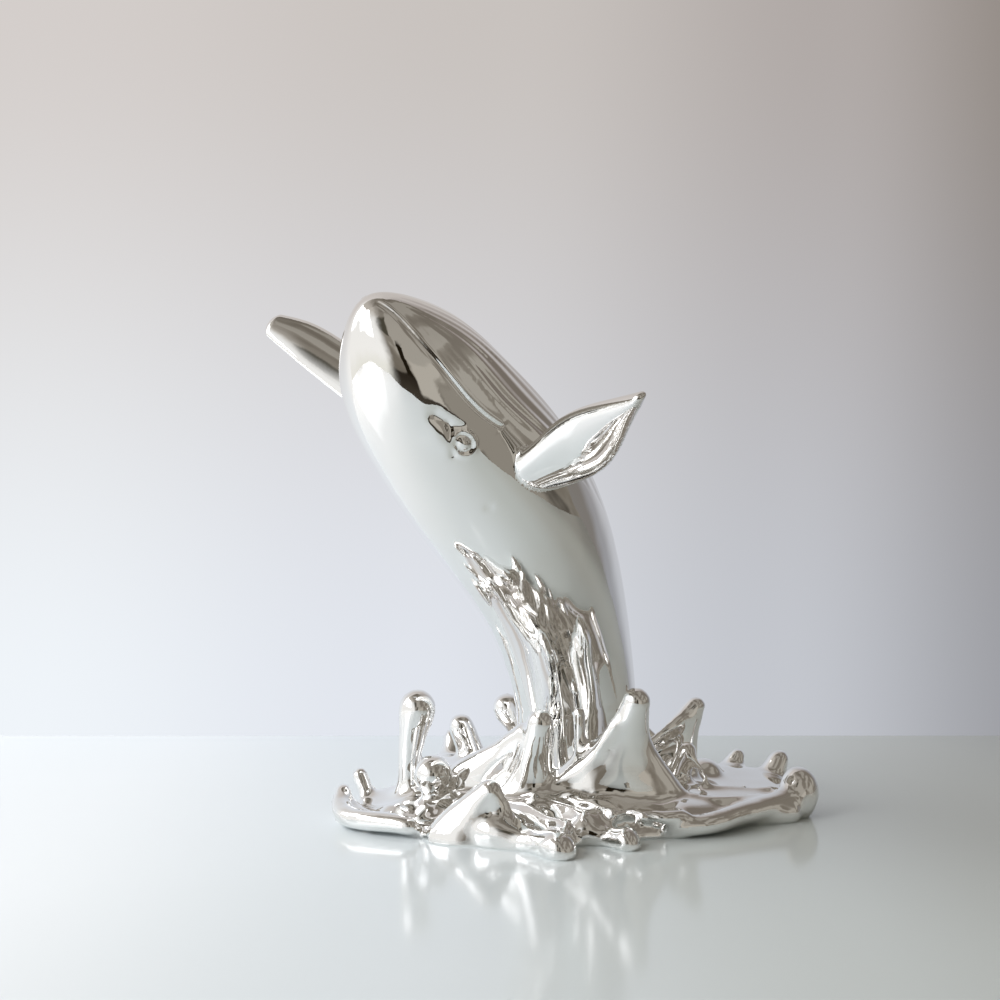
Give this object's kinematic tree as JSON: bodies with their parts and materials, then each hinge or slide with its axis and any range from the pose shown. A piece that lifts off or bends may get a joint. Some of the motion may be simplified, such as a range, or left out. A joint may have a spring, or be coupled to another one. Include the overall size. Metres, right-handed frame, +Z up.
{
  "type": "whale sculpture",
  "caption": "Ornamental sculpture of a breaching whale rising from a splash of water, cast as one piece on a flat underside.",
  "frame": {"origin": "on the flat underside, at the middle of the splash, under the whale's tail stock", "axes": "+Z up; the viewer of the picture stands on the -Y side; the whale leans over the front of the splash (-Y) and to the viewer's left (-X)"},
  "size_m": [0.3012, 0.325, 0.2755],
  "materials": {
    "silver_plating": "mirror-bright silver electroplating over cast resin"
  },
  "bodies": {
    "root": {"whale_sculpture": "silver_plating"}
  },
  "joints": []
}
